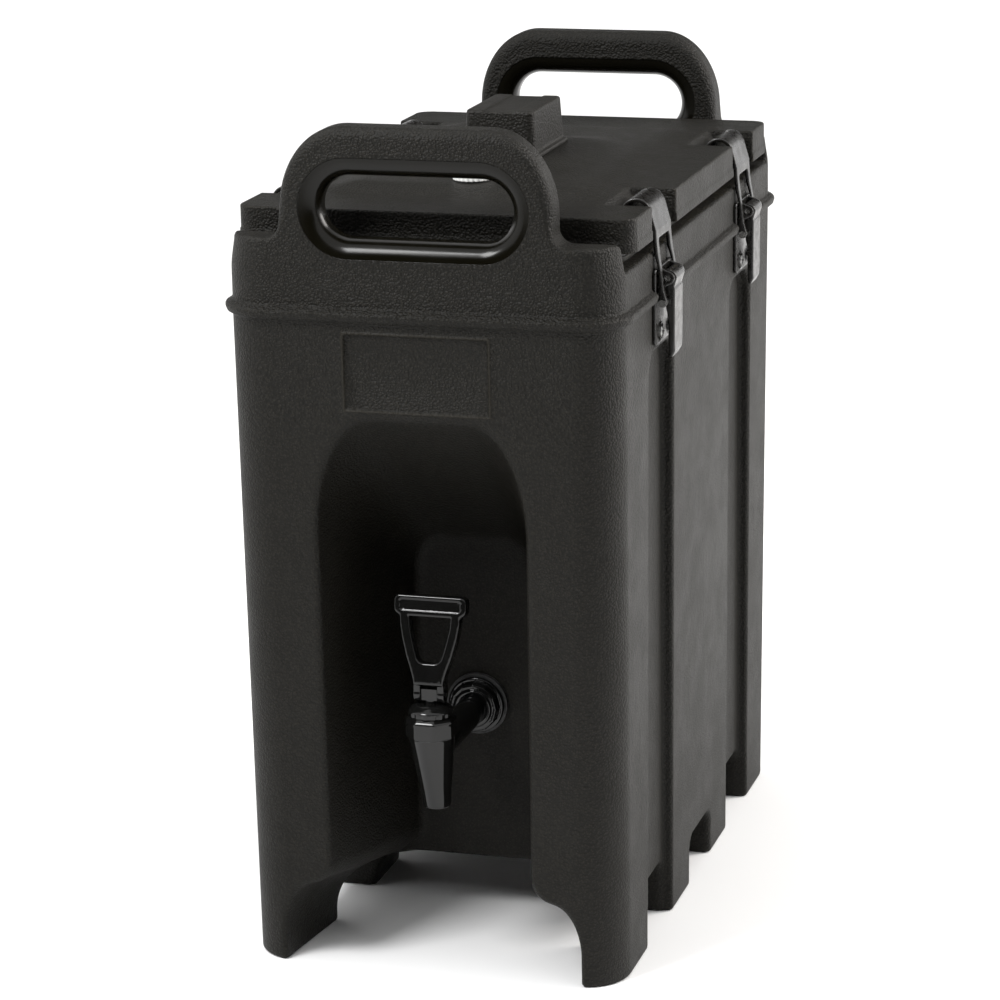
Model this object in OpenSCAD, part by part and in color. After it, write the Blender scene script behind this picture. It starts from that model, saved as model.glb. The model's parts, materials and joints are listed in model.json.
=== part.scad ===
// Insulated beverage carrier: double-wall body, clamped lid, tap.
// Units mm, +Z up, origin at the centre of the footprint, front is -Y.

/* [Body] */
// Body width just under the seam rib
body_w = 221; // [200:1:240]
// Body length just under the seam rib
body_l = 410; // [380:1:430]
// Body width at the feet
base_w = 217; // [200:1:240]
// Body length at the feet
base_l = 395; // [370:1:430]
// Vertical corner radius
corner_r = 26; // [10:1:40]
// Height of the underside of the seam rib
rib_z = 372; // [350:1:380]
// Height of the seam rib
rib_h = 10; // [6:1:12]
// Seam rib reach beyond the wall
rib_out = 4; // [2:0.5:6]
// Top of the body rim
rim_z = 401.5; // [390:0.5:405]
// Outer skin thickness
skin = 3.2; // [2:0.1:5]

/* [Handles] */
// Top of the handle loops
handle_z = 478.5; // [460:0.5:490]
// Half width of a handle loop
handle_hw = 76; // [60:1:90]
// Thickness of a handle loop
handle_t = 24; // [16:1:30]
// Top of the end walls beside the handles
wall_z = 412.5; // [405:0.5:420]
// Half width of the hand hole
hole_hw = 53.5; // [40:0.5:60]
// Bottom of the hand hole
hole_z0 = 417; // [414:0.5:425]
// Top of the hand hole
hole_z1 = 451; // [440:0.5:455]

/* [Alcove and feet] */
// Half width of the tap alcove at the front
alcove_hw = 60; // [50:0.5:65]
// Top of the alcove at the front
alcove_z = 322; // [300:1:330]
// Half width of the alcove at its back
back_hw = 36; // [30:1:50]
// Top of the alcove at its back
back_z = 228; // [220:1:250]
// Y position of the alcove back wall
back_y = -98; // [-120:1:-80]
// Half width of the clear space between the front legs
leg_hw = 87; // [70:1:90]
// Half width of the clear space between left and right feet
tunnel_hw = 73; // [60:1:86]
// Height of the clear space under the body
tunnel_z = 33; // [25:1:40]
// Height of the arch between the front legs
arch_z = 48; // [40:1:60]

/* [Tank] */
// Outer half width of the tank
tank_hw = 88; // [80:1:92]
// Outer half length of the tank mouth
tank_hl = 158; // [150:1:160]
// Outer face of the lower front tank wall
tank_front = -72; // [-80:1:-60]
// Underside of the tank floor
tank_z = 109; // [100:1:112]
// Tank wall
tank_t = 3; // [2:0.5:4]

/* [Lid] */
// Lid width
lid_w = 224; // [210:1:228]
// Lid length
lid_l = 340; // [320:1:350]
// Lower edge of the lid skirt
lid_z0 = 409.4; // [405:0.1:412]
// Lid rim height
lid_z1 = 428.2; // [420:0.1:432]
// Lid raised field height
lid_z2 = 432.5; // [429:0.1:436]
// Height of the crown under the block
lid_z3 = 436; // [433:0.1:438]
// Floor of the four hook pockets
pocket_z = 421; // [420:0.1:425]
// Top of the centre block
block_z = 463; // [450:0.5:470]
// Width of the block's foot flange
block_w = 47; // [40:1:52]
// Length of the block's foot flange
block_l = 70; // [60:1:80]
// Middle of the block along the carrier
block_y = -5.5; // [-10:0.5:5]
// Vent cap distance in front of the centre
vent_y = -92; // [-105:1:-80]

/* [Latches] */
// Distance of each latch centre from mid length
latch_y = 102.5; // [90:0.5:110]
// Base plate half width
plate_hw = 21; // [16:0.5:24]
// Lever pivot distance from mid width
piv_x = 117.2; // [115:0.1:120]
// Lever pivot height
piv_z = 386; // [380:0.1:392]
// Hook pin distance from mid width
hpin_x = 115.2; // [113:0.1:118]
// Hook pin height
hpin_z = 373; // [368:0.1:378]
// Pin radius
pin_r = 1.5; // [1:0.1:2]
// Lever half width
lever_hw = 9.8; // [8:0.1:10]
// Hook half width
hook_hw = 17.5; // [14:0.5:19]
// Lower end of the lever
lever_z0 = 342.5; // [335:0.5:350]
// Outer radius of the hook arch
arch_r = 8.5; // [8:0.1:10]
// Hook strip thickness
hook_t = 2.2; // [2:0.1:3]
// Top of the window between the hook arms
window_z = 408; // [404:0.5:416]

/* [Tap] */
// Y position of the tap axis
tap_y = -190; // [-200:1:-180]
// Height of the shank axis
shank_z = 128.5; // [120:0.5:140]
// Shank radius
shank_r = 8.5; // [7:0.5:10]
// Shank bore radius
bore_r = 5.5; // [4:0.5:6]
// Top of the tap body
tap_z1 = 151; // [148:1:156]
// Lower end of the spout
tap_z0 = 95; // [90:1:105]
// Height of the valve seat
seat_z = 121; // [119:0.5:123]
// Valve well radius
well_r = 6; // [5.5:0.1:6.2]
// Rearward skew of the spout
tap_skew = 8; // [4:0.5:8]
// Radius of the spout's tip
tip_r = 7.6; // [6:0.1:8]
// Height of the tap handle pin
tpin_z = 163; // [160:0.5:168]
// Top of the tap handle
thandle_z = 218; // [205:1:225]
// Tilt of the tap handle at rest
lean = -9; // [-12:1:0]
// Running clearance on a radius
fit = 0.05; // [0.02:0.01:0.1]

/* [Hidden] */
$fn = 48;
e = 0.1;
lid_hw = lid_w / 2;
lid_hl = lid_l / 2;
notch_x = 108.6;
pocket_x = 84;
pocket_y = 100.8;
pocket_hl = 27.6;
plate_x0 = body_w / 2;
plate_x1 = plate_x0 + 1.9;
arch_x = piv_x - 16.6;
arch_zc = pocket_z + 1.2;
strap_x = lid_hw;
hand_z = (hole_z0 + hole_z1) / 2;
hand_r = (hole_z1 - hole_z0) / 2;
cav_z0 = tunnel_z + 3.5;
cav_z1 = rim_z - skin;
collar_z = tap_z1 - 12;
plug_h = 10;
stem_r = 3;
foot_r = 4.5;
foot_z = seat_z + 3;
foot_h = 2;
screw_y = 9;
screw_z = 356;
screw_r = 2;

// ---------- shared shapes ----------
module rrect(w, l, r) {
    square([w - 2 * r, l], center = true);
    square([w, l - 2 * r], center = true);
    for (sx = [-1, 1], sy = [-1, 1])
        translate([sx * (w / 2 - r), sy * (l / 2 - r)])
            circle(r = r);
}

module rblock(w, l, r, z0, z1) {
    translate([0, 0, z0])
        linear_extrude(z1 - z0)
            rrect(w, l, r);
}

module slab_y(y0, y1) {
    translate([0, y1, 0])
        rotate([90, 0, 0])
            linear_extrude(y1 - y0)
                children();
}

module slab_x(x0, x1) {
    translate([x0, 0, 0])
        rotate([90, 0, 90])
            linear_extrude(x1 - x0)
                children();
}

module box(x0, x1, y0, y1, z0, z1) {
    translate([x0, y0, z0])
        cube([x1 - x0, y1 - y0, z1 - z0]);
}

module rod_x(x0, x1, y, z, r) {
    translate([x0, y, z])
        rotate([0, 90, 0])
            cylinder(h = x1 - x0, r = r);
}

module rod_y(y0, y1, x, z, r) {
    translate([x, y1, z])
        rotate([90, 0, 0])
            cylinder(h = y1 - y0, r = r);
}

module side_pair() {
    children();
    mirror([1, 0, 0]) children();
}

module four() {
    for (sy = [-1, 1])
        side_pair()
            translate([0, sy * latch_y, 0])
                children();
}

// ---------- body ----------
function arc_pts(cx, cz, rx, rz, a0, a1, n) =
    [for (i = [0 : n]) let (a = a0 + (a1 - a0) * i / n)
        [cx + rx * cos(a), cz + rz * sin(a)]];

module arch_2d(hw, z0, z1, rx, rz) {
    polygon(concat(
        [[-hw, z0], [hw, z0]],
        arc_pts(hw - rx, z1 - rz, rx, rz, 0, 90, 8),
        arc_pts(rx - hw, z1 - rz, rx, rz, 90, 180, 8)));
}

module alcove(grow) {
    hull() {
        slab_y(-206, -205.9)
            arch_2d(alcove_hw + grow, -1, alcove_z + grow, 33, 64);
        slab_y(back_y, back_y + grow + e)
            arch_2d(back_hw + grow, -1, back_z + grow, 18, 22);
    }
}

module channels(grow) {
    for (sy = [-1, 1])
        side_pair()
            translate([0, sy * 101.5, 0])
                slab_x(103 - grow, 125)
                    difference() {
                        translate([-28.5 - grow, -1])
                            square([57 + 2 * grow, 346 + grow]);
                        for (s = [-1, 1])
                            translate([s * (28.5 + grow), 345 + grow])
                                difference() {
                                    square(28, center = true);
                                    translate([-s * 14, -14])
                                        circle(r = 14);
                                }
                    }
}

module gap_2d(w, h, r) {
    translate([-w / 2, -1])
        square([w, h - r + 1]);
    translate([r - w / 2, -1])
        square([w - 2 * r, h + 1]);
    for (s = [-1, 1])
        translate([s * (w / 2 - r), h - r])
            circle(r = r);
}

module foot_gaps() {
    slab_x(-125, 125) {
        for (s = [-1, 1])
            translate([s * 102.5, 0])
                gap_2d(55, 31, 8);
        gap_2d(52, 28, 8);
    }
}

module tunnel() {
    hull() {
        slab_y(-206, -205.9)
            arch_2d(leg_hw, -1, arch_z, 16, 30);
        slab_y(back_y - e, back_y)
            arch_2d(tunnel_hw, -1, tunnel_z + 4.4, 42, tunnel_z + 3);
    }
    slab_y(back_y - e, 206)
        arch_2d(tunnel_hw, -1, tunnel_z, 40, tunnel_z - 1);
}

module handle_2d() {
    arch_2d(handle_hw, rim_z - 2, handle_z, 36, 46);
    for (s = [-1, 1])
        difference() {
            translate([s * (handle_hw + 4), wall_z + 3.5])
                square([10, 9], center = true);
            translate([s * (handle_hw + 8), wall_z + 8])
                circle(r = 8);
            translate([s * (handle_hw + 13), wall_z + 8])
                square([10, 20], center = true);
        }
}

module stadium_2d(hw, r) {
    square([2 * (hw - r), 2 * r], center = true);
    for (s = [-1, 1])
        translate([s * (hw - r), 0])
            circle(r = r);
}

module hand_hole() {
    y0 = -body_l / 2;
    slab_y(y0 - 1, y0 + handle_t + 1)
        translate([0, hand_z])
            stadium_2d(hole_hw, hand_r);
    for (k = [0, 1])
        translate([0, y0 + k * handle_t, hand_z])
            rotate([k == 0 ? -90 : 90, 0, 0])
                linear_extrude(8, scale = [107 / 127, 34 / 54], slices = 1)
                    stadium_2d(63.5, 27, $fn = 32);
}

module end_wall() {
    y0 = -body_l / 2;
    intersection() {
        rblock(body_w - 4, body_l, corner_r, rim_z - 1, wall_z);
        box(-120, 120, y0 - 1, y0 + handle_t, rim_z - 2, wall_z + 1);
    }
    difference() {
        union() {
            slab_y(y0 + 4, y0 + handle_t - 4)
                handle_2d();
            slab_y(y0, y0 + handle_t)
                offset(delta = -4)
                    handle_2d();
        }
        hand_hole();
    }
}

module body_form() {
    hull() {
        rblock(base_w, base_l, corner_r, 0, e);
        rblock(body_w, body_l, corner_r, rib_z - e, rib_z);
    }
    rblock(body_w, body_l, corner_r, rib_z - e, rim_z);
    rblock(body_w + rib_out, body_l + rib_out, corner_r + 1, rib_z, rib_z + rib_h);
    rblock(body_w + 2 * rib_out, body_l + 2 * rib_out, corner_r + 3, rib_z + 2, rib_z + rib_h - 2);
    end_wall();
    mirror([0, 1, 0]) end_wall();
}

module cavity(grow) {
    difference() {
        hull() {
            rblock(base_w - 6 - 2 * grow, base_l - 6 - 2 * grow, 23, cav_z0 + grow, cav_z0 + grow + e);
            rblock(body_w - 7 - 2 * grow, body_l - 7 - 2 * grow, 23, cav_z1 - grow - e, cav_z1 - grow);
        }
        alcove(skin + grow);
        channels(skin + grow);
        box(-120, 120, -210, back_y + skin + grow, 0, arch_z + skin + grow);
    }
}

module outer_shell() {
    color([0.17, 0.165, 0.155])
        difference() {
            body_form();
            alcove(0);
            tunnel();
            foot_gaps();
            channels(0);
            cavity(0);
            slab_y(-210, -203)
                translate([0, 346])
                    square([80, 41], center = true);
            four() box(plate_x0, 125, -21.3, 21.3, rib_z - 2, rib_z + rib_h + 2);
            rblock(2 * tank_hw + 1, 2 * tank_hl + 1, 22.5, cav_z1 - 1, rim_z + 1);
            rod_y(back_y - 1, back_y + 6, 0, shank_z, 11.02);
            translate([0, 120, tunnel_z - 1])
                cylinder(h = 6, r = 12);
            four() for (s = [-1, 1])
                rod_x(100, 112, s * screw_y, screw_z, screw_r);
        }
}

module fill_plug() {
    color([0.12, 0.12, 0.12])
        translate([0, 120, 0]) {
            translate([0, 0, tunnel_z])
                cylinder(h = 5.5, r = 12);
            translate([0, 0, tunnel_z - 2])
                cylinder(h = 2, r = 15);
        }
}

module tank_side(g) {
    polygon([
        [-tank_hl - g, rim_z + 10], [-tank_hl - g, 332 - g], [tank_front - g, 262 - g],
        [tank_front - g, tank_z - g], [tank_hl + g, tank_z - g], [tank_hl + g, rim_z + 10]
    ]);
}

module tank_form(g) {
    intersection() {
        rblock(2 * (tank_hw + g), 2 * (tank_hl + g), 22 + g, tank_z - 2, rim_z + 2.5);
        slab_x(-tank_hw - g, tank_hw + g)
            tank_side(g);
    }
}

module foam_core() {
    color([0.93, 0.88, 0.68])
        difference() {
            cavity(0.2);
            box(-tunnel_hw, tunnel_hw, -210, back_y + skin, 0, arch_z + 20);
            tank_form(0.2);
            rod_y(back_y - 1, tank_front + 2, 0, shank_z, 11.2);
            translate([0, 120, tunnel_z])
                cylinder(h = 5.7, r = 12.2);
            four() for (s = [-1, 1])
                rod_x(98, 112, s * screw_y, screw_z, screw_r + 0.2);
        }
}

module tank_liner() {
    color([0.2, 0.195, 0.185])
        difference() {
            union() {
                tank_form(0);
                rblock(204, 332, 24, rim_z, rim_z + 2.5);
            }
            translate([0, 0, 0.01])
                tank_form(-tank_t);
            rblock(2 * (tank_hw - tank_t), 2 * (tank_hl - tank_t), 19, rim_z - 2, rim_z + 4);
            rod_y(tank_front - 1, tank_front + 4, 0, shank_z, shank_r);
        }
}

module shank_sleeve() {
    color([0.75, 0.74, 0.7])
        difference() {
            rod_y(back_y, tank_front, 0, shank_z, 11);
            rod_y(back_y - 1, tank_front + 1, 0, shank_z, shank_r);
        }
}

// ---------- lid ----------
module at_pockets() {
    for (sy = [-1, 1])
        side_pair()
            translate([0, sy * pocket_y, 0])
                children();
}

// Ramp, floor and chamfered edge of a hook pocket, cut down through the skirt
module pocket_2d() {
    polygon([
        [pocket_x, lid_z2 + 8], [pocket_x, lid_z1], [pocket_x + lid_z1 - pocket_z, pocket_z],
        [notch_x - 3.6, pocket_z], [notch_x, pocket_z - 6.5], [notch_x, lid_z0 - 8],
        [120, lid_z0 - 8], [120, lid_z2 + 8]
    ]);
}

// Solid plastic kept under the hook pockets
module pocket_floor(g) {
    box(pocket_x - 3 - g, notch_x, -pocket_hl - 3 - g, pocket_hl + 3 + g, pocket_z - 4 - g, 430);
}

module lid_shell() {
    color([0.17, 0.165, 0.155])
        difference() {
            union() {
                rblock(lid_w, lid_l, 16, 415, lid_z1);
                rblock(lid_w + 1, lid_l + 1, 16.5, lid_z0, 415.1);
                hull() {
                    rblock(172, 254, 24, lid_z1 - e, lid_z1);
                    rblock(124, 208, 20, lid_z2 - e, lid_z2);
                }
                hull() {
                    rblock(110, 140, 30, lid_z2 - e, lid_z2);
                    rblock(56, 84, 16, lid_z3 - e, lid_z3);
                }
            }
            at_pockets()
                slab_y(-pocket_hl, pocket_hl)
                    pocket_2d();
            difference() {
                rblock(211, 333, 12, lid_z0 - 1, 421.5);
                at_pockets() pocket_floor(0);
            }
            rblock(124, 208, 12, 421, lid_z2 - 3.5);
            translate([0, vent_y, 400])
                cylinder(h = 40, r = 7);
        }
}

module lid_block() {
    color([0.2, 0.195, 0.185])
        translate([0, block_y, 0])
            difference() {
                union() {
                    rblock(block_w, block_l, 4, lid_z3, lid_z3 + 2.5);
                    hull() {
                        rblock(block_w - 4, block_l - 4, 3, lid_z3 + 1, lid_z3 + 1.1);
                        rblock(block_w - 7, block_l - 7, 3, block_z - e, block_z);
                    }
                }
                box(-9.5, 9.5, -block_l, block_l, block_z - 0.8, block_z + 1);
            }
}

module lid_foam() {
    color([0.93, 0.88, 0.68])
        difference() {
            union() {
                difference() {
                    rblock(210.4, 332.4, 11.7, lid_z0, 421.3);
                    at_pockets() pocket_floor(0.2);
                }
                rblock(123.4, 207.4, 11.7, 421, lid_z2 - 3.7);
                rblock(2 * tank_hw - 18.6, 2 * tank_hl - 18.6, 14.7, 381.2, lid_z0 + 1);
            }
            translate([0, vent_y, 370])
                cylinder(h = 70, r = 7);
        }
}

module lid_pan() {
    color([0.2, 0.195, 0.185])
        difference() {
            union() {
                rblock(2 * tank_hw - 12, 2 * tank_hl - 12, 18, 378, lid_z0);
                rblock(206, 334, 22, 406.8, lid_z0);
            }
            rblock(2 * tank_hw - 18, 2 * tank_hl - 18, 15, 381, lid_z0 + 1);
            translate([0, vent_y, 370])
                cylinder(h = 30, r = 7);
        }
}

module lid_gasket() {
    color([0.08, 0.08, 0.08])
        difference() {
            rblock(202, 330, 22, rim_z + 2.55, 406.8);
            rblock(182, 321, 17, rim_z + 2, 408);
        }
}

module vent_tube() {
    color([0.85, 0.84, 0.8])
        difference() {
            translate([0, vent_y, 378])
                cylinder(h = lid_z2 - 378, r = 7);
            translate([0, vent_y, 370])
                cylinder(h = 70, r = 5 + fit);
        }
}

module vent_cap() {
    color([0.9, 0.9, 0.88])
        translate([0, vent_y, 0])
            difference() {
                union() {
                    translate([0, 0, 414])
                        cylinder(h = 20, r = 5);
                    translate([0, 0, lid_z2 + 0.7])
                        cylinder(h = 2.2, r = 11);
                    translate([0, 0, lid_z2 + 2.8])
                        cylinder(h = 1.5, r1 = 11, r2 = 9.5);
                }
                translate([0, 0, 413])
                    cylinder(h = 12, r = 3);
            }
}

module vent_seal() {
    color([0.08, 0.08, 0.08])
        translate([0, vent_y, 0])
            difference() {
                translate([0, 0, lid_z2 + 0.05])
                    cylinder(h = 0.65, r = 10);
                cylinder(h = 500, r = 5);
            }
}

// ---------- latches, drawn for the right-hand side with the centre at Y 0 ----------
module ear_2d() {
    difference() {
        union() {
            translate([piv_x, piv_z])
                circle(r = 3.6);
            polygon([
                [plate_x1 - 0.5, piv_z - 7.5], [piv_x + 0.6, piv_z - 3.55],
                [piv_x + 0.6, piv_z + 3.55], [plate_x1 - 0.5, piv_z + 6]
            ]);
        }
        translate([piv_x, piv_z])
            circle(r = pin_r);
    }
}

module latch_base() {
    color([0.13, 0.13, 0.13])
        difference() {
            union() {
                slab_x(plate_x0, plate_x1) {
                    translate([-plate_hw, 351])
                        square([2 * plate_hw, piv_z + 6 - 351]);
                    translate([-plate_hw + 2, 349.5])
                        square([2 * plate_hw - 4, 5]);
                }
                for (s = [-1, 1])
                    translate([0, s * 11.45, 0])
                        slab_y(-1.05, 1.05)
                            ear_2d();
            }
            for (s = [-1, 1])
                rod_x(105, 120, s * screw_y, screw_z, screw_r);
        }
}

module latch_screws() {
    color([0.75, 0.75, 0.74])
        four() for (s = [-1, 1]) {
            difference() {
                rod_x(plate_x1, plate_x1 + 1.3, s * screw_y, screw_z, 3.6);
                for (k = [[2.4, 0.5], [0.5, 2.4]])
                    box(plate_x1 + 0.6, plate_x1 + 2, s * screw_y - k[0], s * screw_y + k[0],
                        screw_z - k[1], screw_z + k[1]);
            }
            rod_x(99, plate_x1 + 0.1, s * screw_y, screw_z, screw_r);
        }
}

module base_pin() {
    color([0.75, 0.75, 0.74])
        rod_y(-12.7, 12.7, piv_x, piv_z, pin_r);
}

module lever_2d() {
    difference() {
        union() {
            translate([piv_x, piv_z])
                circle(r = 4.3);
            polygon([
                [116.6, piv_z], [116.6, lever_z0 - 1.5], [118.4, lever_z0 - 1.5],
                [120.2, lever_z0 + 2], [120.5, piv_z - 4], [121.2, piv_z]
            ]);
        }
        translate([piv_x, piv_z])
            circle(r = pin_r + fit);
        translate([121.6, piv_z - 5.2])
            circle(r = 1.5);
    }
}

module cheek_2d() {
    difference() {
        union() {
            translate([hpin_x, hpin_z])
                circle(r = 2.6);
            polygon([
                [hpin_x, hpin_z - 2.6], [117, hpin_z - 12],
                [117, piv_z], [hpin_x - 2.3, hpin_z + 1.2]
            ]);
        }
        translate([hpin_x, hpin_z])
            circle(r = pin_r + fit);
    }
}

module lever() {
    color([0.16, 0.16, 0.16])
        difference() {
            union() {
                slab_y(-lever_hw, lever_hw)
                    lever_2d();
                for (s = [-1, 1])
                    translate([0, s * (lever_hw - 1.4), 0])
                        slab_y(-1.4, 1.4)
                            cheek_2d();
            }
            rod_y(-20, 20, hpin_x, hpin_z, pin_r + fit);
            rod_y(-20, 20, piv_x, piv_z, pin_r + fit);
            for (s = [-1, 1])
                translate([110, s * lever_hw, lever_z0 - 3])
                    rotate([s * 14, 0, 0])
                        translate([0, s > 0 ? 0 : -6, -6])
                            cube([16, 6, 14]);
        }
}

module hook_pin() {
    color([0.75, 0.75, 0.74]) {
        rod_y(-17.6, 17.6, hpin_x, hpin_z, pin_r);
        for (s = [-1, 1])
            translate([0, s * 17.95, 0])
                rod_y(-0.45, 0.45, hpin_x, hpin_z, 2.1);
    }
}

module hook_2d() {
    polygon(concat(
        [[hpin_x + 2.6, hpin_z], [strap_x + 3.7, 382], [strap_x + 2.9, 390],
            [strap_x + 0.7, 402], [strap_x - 0.1, 413]],
        arc_pts(arch_x, arch_zc, arch_r, arch_r, 15, 180, 12),
        [[arch_x - arch_r, pocket_z + 0.7], [arch_x - arch_r + hook_t, pocket_z + 0.7]],
        arc_pts(arch_x, arch_zc, arch_r - hook_t, arch_r - hook_t, 180, 15, 12),
        [[strap_x - 2.3, 412.5], [strap_x - 1.5, 402], [strap_x + 0.9, 392],
            [strap_x + 1, 382], [hpin_x - 2.5, hpin_z]]));
    translate([hpin_x, hpin_z])
        circle(r = 2.5);
}

module hook() {
    color([0.16, 0.16, 0.16])
        difference() {
            slab_y(-hook_hw, hook_hw)
                hook_2d();
            box(100, 130, -12.9, 12.9, 360, 398);
            box(100, 130, -12, 12, 397, window_z);
            rod_y(-20, 20, hpin_x, hpin_z, pin_r);
        }
}

module at_latch(sx, sy) {
    mirror([sx < 0 ? 1 : 0, 0, 0])
        translate([0, sy * latch_y, 0])
            children();
}

module latch_base_fr() { at_latch(1, -1) latch_base(); }
module latch_base_fl() { at_latch(-1, -1) latch_base(); }
module latch_base_rr() { at_latch(1, 1) latch_base(); }
module latch_base_rl() { at_latch(-1, 1) latch_base(); }
module base_pin_fr() { at_latch(1, -1) base_pin(); }
module base_pin_fl() { at_latch(-1, -1) base_pin(); }
module base_pin_rr() { at_latch(1, 1) base_pin(); }
module base_pin_rl() { at_latch(-1, 1) base_pin(); }
module lever_fr() { at_latch(1, -1) lever(); }
module lever_fl() { at_latch(-1, -1) lever(); }
module lever_rr() { at_latch(1, 1) lever(); }
module lever_rl() { at_latch(-1, 1) lever(); }
module hook_pin_fr() { at_latch(1, -1) hook_pin(); }
module hook_pin_fl() { at_latch(-1, -1) hook_pin(); }
module hook_pin_rr() { at_latch(1, 1) hook_pin(); }
module hook_pin_rl() { at_latch(-1, 1) hook_pin(); }
module hook_fr() { at_latch(1, -1) hook(); }
module hook_fl() { at_latch(-1, -1) hook(); }
module hook_rr() { at_latch(1, 1) hook(); }
module hook_rl() { at_latch(-1, 1) hook(); }

// ---------- tap ----------
module tap_body() {
    color([0.07, 0.07, 0.075])
        difference() {
            union() {
                translate([0, tap_y, collar_z])
                    rotate([0, 0, 22.5])
                        cylinder(h = tap_z1 - collar_z, r = 14.6, $fn = 8);
                hull() {
                    translate([0, tap_y, collar_z - 1])
                        cylinder(h = 1.1, r = 13, $fn = 32);
                    translate([0, tap_y + tap_skew, tap_z0])
                        cylinder(h = 1, r = tip_r, $fn = 32);
                }
                rod_y(tap_y + 6, -60, 0, shank_z, shank_r);
                box(-2.5, 2.5, tap_y + 10, tap_y + 25, tap_z0 + 2, shank_z);
            }
            translate([0, tap_y, seat_z])
                cylinder(h = tap_z1, r = well_r);
            translate([0, tap_y, tap_z1 - plug_h])
                cylinder(h = plug_h + 1, r = 8);
            translate([0, tap_y + 1, seat_z - 9])
                cylinder(h = 10, r = 3.8);
            translate([0, tap_y + tap_skew - 1, tap_z0 - 1])
                cylinder(h = seat_z - tap_z0 - 6, r = 4);
            rod_y(tap_y + 2, -50, 0, shank_z, bore_r);
        }
}

module tap_bonnet() {
    color([0.05, 0.05, 0.055])
        translate([0, tap_y, 0])
            difference() {
                union() {
                    translate([0, 0, tap_z1 - plug_h])
                        cylinder(h = plug_h, r = 8);
                    translate([0, 0, tap_z1])
                        cylinder(h = 3.5, r = 12.5);
                    translate([0, 0, tap_z1 + 3.5])
                        cylinder(h = 3, r1 = 12.5, r2 = 8.5);
                }
                cylinder(h = 200, r = stem_r + fit);
                translate([0, 0, tap_z1 - plug_h - 1])
                    cylinder(h = 6, r = 6);
            }
}

module tap_stem() {
    color([0.07, 0.07, 0.075])
        translate([0, tap_y, 0])
            difference() {
                union() {
                    translate([0, 0, foot_z])
                        cylinder(h = tpin_z + 2 - foot_z, r = stem_r);
                    translate([0, 0, foot_z])
                        cylinder(h = foot_h, r = foot_r);
                    box(-4.4, 4.4, -3, 3, tpin_z - 3.2, tpin_z + 3.2);
                }
                rod_x(-10, 10, 0, tpin_z, pin_r + fit);
            }
}

module seat_cup() {
    color([0.55, 0.55, 0.53])
        translate([0, tap_y, 0])
            difference() {
                union() {
                    translate([0, 0, seat_z + fit])
                        cylinder(h = 2.6, r1 = 5, r2 = well_r - 0.4);
                    translate([0, 0, seat_z + 2.6])
                        cylinder(h = 3.9, r = well_r - 0.4);
                }
                translate([0, 0, foot_z])
                    cylinder(h = foot_h, r = foot_r);
                translate([0, 0, foot_z + foot_h - e])
                    cylinder(h = 5, r = stem_r);
            }
}

module tap_pin() {
    color([0.1, 0.1, 0.1])
        rod_x(-9.3, 9.3, tap_y, tpin_z, pin_r);
}

module loop_2d() {
    difference() {
        union() {
            polygon([
                [-8.5, 168], [8.5, 168], [11, 176], [17.5, 204], [-17.5, 204], [-11, 176]
            ]);
            translate([0, thandle_z - 5.5])
                square([31, 11], center = true);
            for (s = [-1, 1])
                translate([s * 15.3, thandle_z - 5.5])
                    circle(r = 5.5);
            translate([0, 205])
                square([33, 6], center = true);
        }
        polygon([[-6.5, 179], [6.5, 179], [11.8, 205.5], [-11.8, 205.5]]);
    }
}

module tap_handle() {
    color([0.06, 0.06, 0.065])
        translate([0, tap_y, 0])
            difference() {
                union() {
                    translate([0, 0, tpin_z])
                        rotate([lean, 0, 0])
                            translate([0, 0, -tpin_z])
                                slab_y(-4, 4)
                                    loop_2d();
                    for (s = [-1, 1])
                        translate([s * 6.8, 0, 0])
                            slab_x(-2, 2) {
                                translate([0, tpin_z])
                                    circle(r = 4.8);
                                translate([-4.5, tpin_z])
                                    square([9, 8]);
                            }
                }
                rod_x(-12, 12, 0, tpin_z, pin_r);
            }
}

module outer_washer() {
    color([0.1, 0.1, 0.1])
        difference() {
            rod_y(back_y - 3, back_y, 0, shank_z, 18);
            rod_y(back_y - 4, back_y + 1, 0, shank_z, shank_r);
        }
}

module outer_nut() {
    color([0.06, 0.06, 0.065])
        difference() {
            union() {
                rod_y(back_y - 6, back_y - 3, 0, shank_z, 16.5);
                rod_y(back_y - 13, back_y - 5, 0, shank_z, 13.5);
                for (a = [0 : 30 : 330])
                    translate([13.2 * cos(a), 0, shank_z + 13.2 * sin(a)])
                        rod_y(back_y - 12, back_y - 5, 0, 0, 1.8);
            }
            rod_y(back_y - 15, back_y, 0, shank_z, shank_r);
        }
}

module inner_washer() {
    color([0.1, 0.1, 0.1])
        difference() {
            rod_y(tank_front + tank_t, tank_front + tank_t + 2.5, 0, shank_z, 14);
            rod_y(tank_front, tank_front + 8, 0, shank_z, shank_r);
        }
}

module inner_nut() {
    color([0.85, 0.84, 0.8])
        difference() {
            translate([0, tank_front + tank_t + 9, shank_z])
                rotate([90, 0, 0])
                    cylinder(h = 6.5, r = 14.5, $fn = 6);
            rod_y(tank_front, tank_front + 20, 0, shank_z, shank_r);
        }
}

outer_shell();
fill_plug();
foam_core();
tank_liner();
shank_sleeve();
lid_shell();
lid_block();
lid_foam();
lid_pan();
lid_gasket();
vent_tube();
vent_cap();
vent_seal();
latch_base_fr();
latch_base_fl();
latch_base_rr();
latch_base_rl();
latch_screws();
base_pin_fr();
base_pin_fl();
base_pin_rr();
base_pin_rl();
lever_fr();
lever_fl();
lever_rr();
lever_rl();
hook_pin_fr();
hook_pin_fl();
hook_pin_rr();
hook_pin_rl();
hook_fr();
hook_fl();
hook_rr();
hook_rl();
tap_body();
tap_bonnet();
tap_stem();
seat_cup();
tap_pin();
tap_handle();
outer_washer();
outer_nut();
inner_washer();
inner_nut();
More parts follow.
